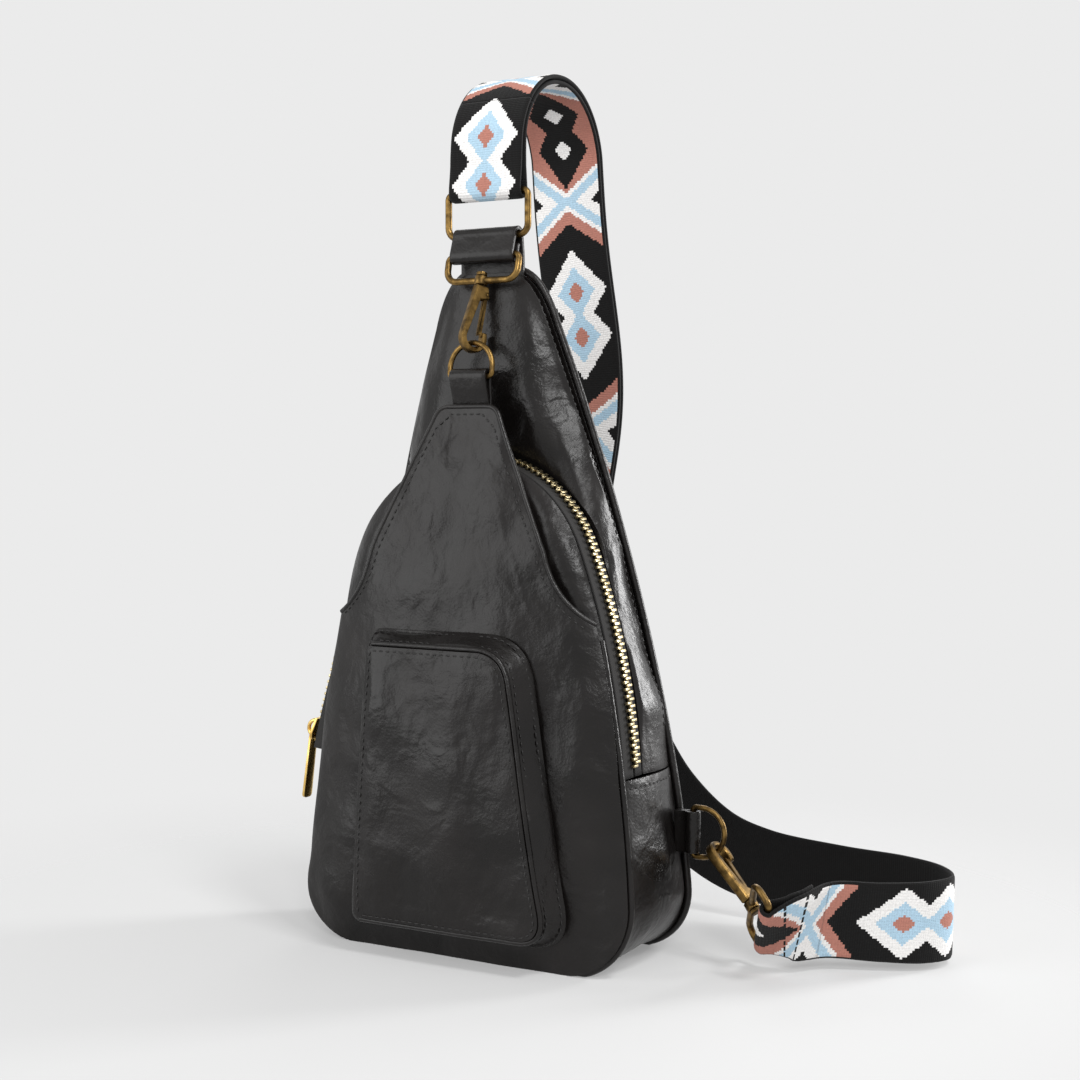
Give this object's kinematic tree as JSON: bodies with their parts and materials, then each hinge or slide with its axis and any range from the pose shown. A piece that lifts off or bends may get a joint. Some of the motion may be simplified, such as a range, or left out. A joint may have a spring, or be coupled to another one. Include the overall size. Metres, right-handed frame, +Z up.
{
  "type": "sling bag",
  "caption": "Tapering faux-leather sling bag with an arched zip, clipped front tongue, box pocket, brass snap hooks and a wide patterned strap.",
  "frame": {"origin": "middle of the flat base, on the surface the bag stands on", "axes": "+X to the right seen from the front, +Y to the back, +Z up; the front faces -Y"},
  "size_m": [0.2846, 0.1409, 0.3861],
  "materials": {
    "leather_black": "semi-gloss creased black faux leather",
    "zip_tape": "black woven zip tape",
    "brass_antique": "antique brass, brushed",
    "brass_bright": "bright gold-toned brass",
    "webbing": "jacquard webbing, patterned outside and black inside"
  },
  "bodies": {
    "bag": {"back_panel": "leather_black", "front_panel": "leather_black", "lower_gusset": "leather_black", "upper_panel": "leather_black", "back_piping": "leather_black", "zip_tape_front": "zip_tape", "zip_tape_rear": "zip_tape", "zip_teeth_front": "brass_antique", "zip_teeth_rear": "brass_antique", "tongue_panel": "leather_black", "pocket_gusset": "leather_black", "pocket_face": "leather_black", "top_loop": "leather_black", "tongue_tab": "leather_black", "side_tab": "leather_black", "strap": "webbing"},
    "slider": {"zip_slider": "brass_bright"},
    "pull": {"zip_pull": "brass_bright"},
    "clasp": {"clasp_ring": "brass_antique"},
    "upper_hook": {"upper_hook": "brass_antique", "upper_gate_pin": "brass_antique"},
    "upper_gate": {"upper_gate": "brass_antique"},
    "tongue_ring": {"tongue_d_ring": "brass_antique"},
    "strap_ring": {"strap_ring": "brass_antique"},
    "strap_end": {"strap_end_ring": "brass_antique"},
    "lower_hook": {"lower_hook": "brass_antique", "lower_gate_pin": "brass_antique"},
    "lower_gate": {"lower_gate": "brass_antique"},
    "side_ring": {"side_d_ring": "brass_antique"},
    "adjuster": {"strap_adjuster": "brass_antique"}
  },
  "joints": [
    {"name": "zip_slider_travel", "type": "hinge", "parent": "bag", "child": "slider", "pos_m": [0.55532, -0.01787, -0.06736], "axis": [0, 0.9996, -0.0278], "range_deg": [0, 6.9], "deforming": ["zip_teeth_front", "zip_teeth_rear", "zip_tape_front", "zip_tape_rear"]},
    {"name": "zip_pull_swing", "type": "hinge", "parent": "slider", "child": "pull", "pos_m": [-0.08754, -0.0135, 0.09079], "axis": [0, 1, 0], "range_deg": [0, 135]},
    {"name": "clasp_ring_tilt", "type": "hinge", "parent": "bag", "child": "clasp", "pos_m": [0, -0.0072, 0.3033], "axis": [1, 0, 0], "range_deg": [-1.8, 3]},
    {"name": "upper_hook_swivel", "type": "hinge", "parent": "clasp", "child": "upper_hook", "pos_m": [0, -0.00965, 0.29227], "axis": [0, 0.2164, 0.9763], "range_deg": [-6, 24]},
    {"name": "upper_gate_press", "type": "hinge", "parent": "upper_hook", "child": "upper_gate", "pos_m": [0.00122, -0.00825, 0.28591], "axis": [-0.9135, 0.3971, -0.088], "range_deg": [0, 12], "stiffness_Nm_per_rad": 0.02},
    {"name": "tongue_ring_tilt", "type": "hinge", "parent": "bag", "child": "tongue_ring", "pos_m": [0, -0.01865, 0.25057], "axis": [1, 0, 0], "range_deg": [-9, 9]},
    {"name": "strap_ring_swing", "type": "hinge", "parent": "bag", "child": "strap_ring", "pos_m": [0, -0.004, 0.312], "axis": [1, 0, 0], "range_deg": [-20, 20], "deforming": ["strap"]},
    {"name": "strap_end_tilt", "type": "hinge", "parent": "bag", "child": "strap_end", "pos_m": [0.12834, 0.00495, 0.02181], "axis": [0.3502, -0.6722, 0.6524], "range_deg": [-1.2, 3], "deforming": ["strap"]},
    {"name": "lower_hook_swivel", "type": "hinge", "parent": "strap_end", "child": "lower_hook", "pos_m": [0.12072, 0.00837, 0.02942], "axis": [0.6739, -0.3029, -0.6739], "range_deg": [-18, 18]},
    {"name": "lower_gate_press", "type": "hinge", "parent": "lower_hook", "child": "lower_gate", "pos_m": [0.11739, 0.01302, 0.03275], "axis": [0.7071, 0, 0.7071], "range_deg": [0, 12], "stiffness_Nm_per_rad": 0.02},
    {"name": "side_ring_swing", "type": "hinge", "parent": "bag", "child": "side_ring", "pos_m": [0.09005, 0.0159, 0.056], "axis": [0, 0, 1], "range_deg": [-8, 8]},
    {"name": "adjuster_slide", "type": "slide", "parent": "bag", "child": "adjuster", "axis": [0, 0, 1], "range_m": [-0.02, 0.02], "deforming": ["strap"]}
  ],
  "couplings": [
    {"joint": "tongue_ring_tilt", "follows": "clasp_ring_tilt", "ratio": -2.67},
    {"joint": "side_ring_swing", "follows": "strap_end_tilt", "ratio": -2.3}
  ]
}
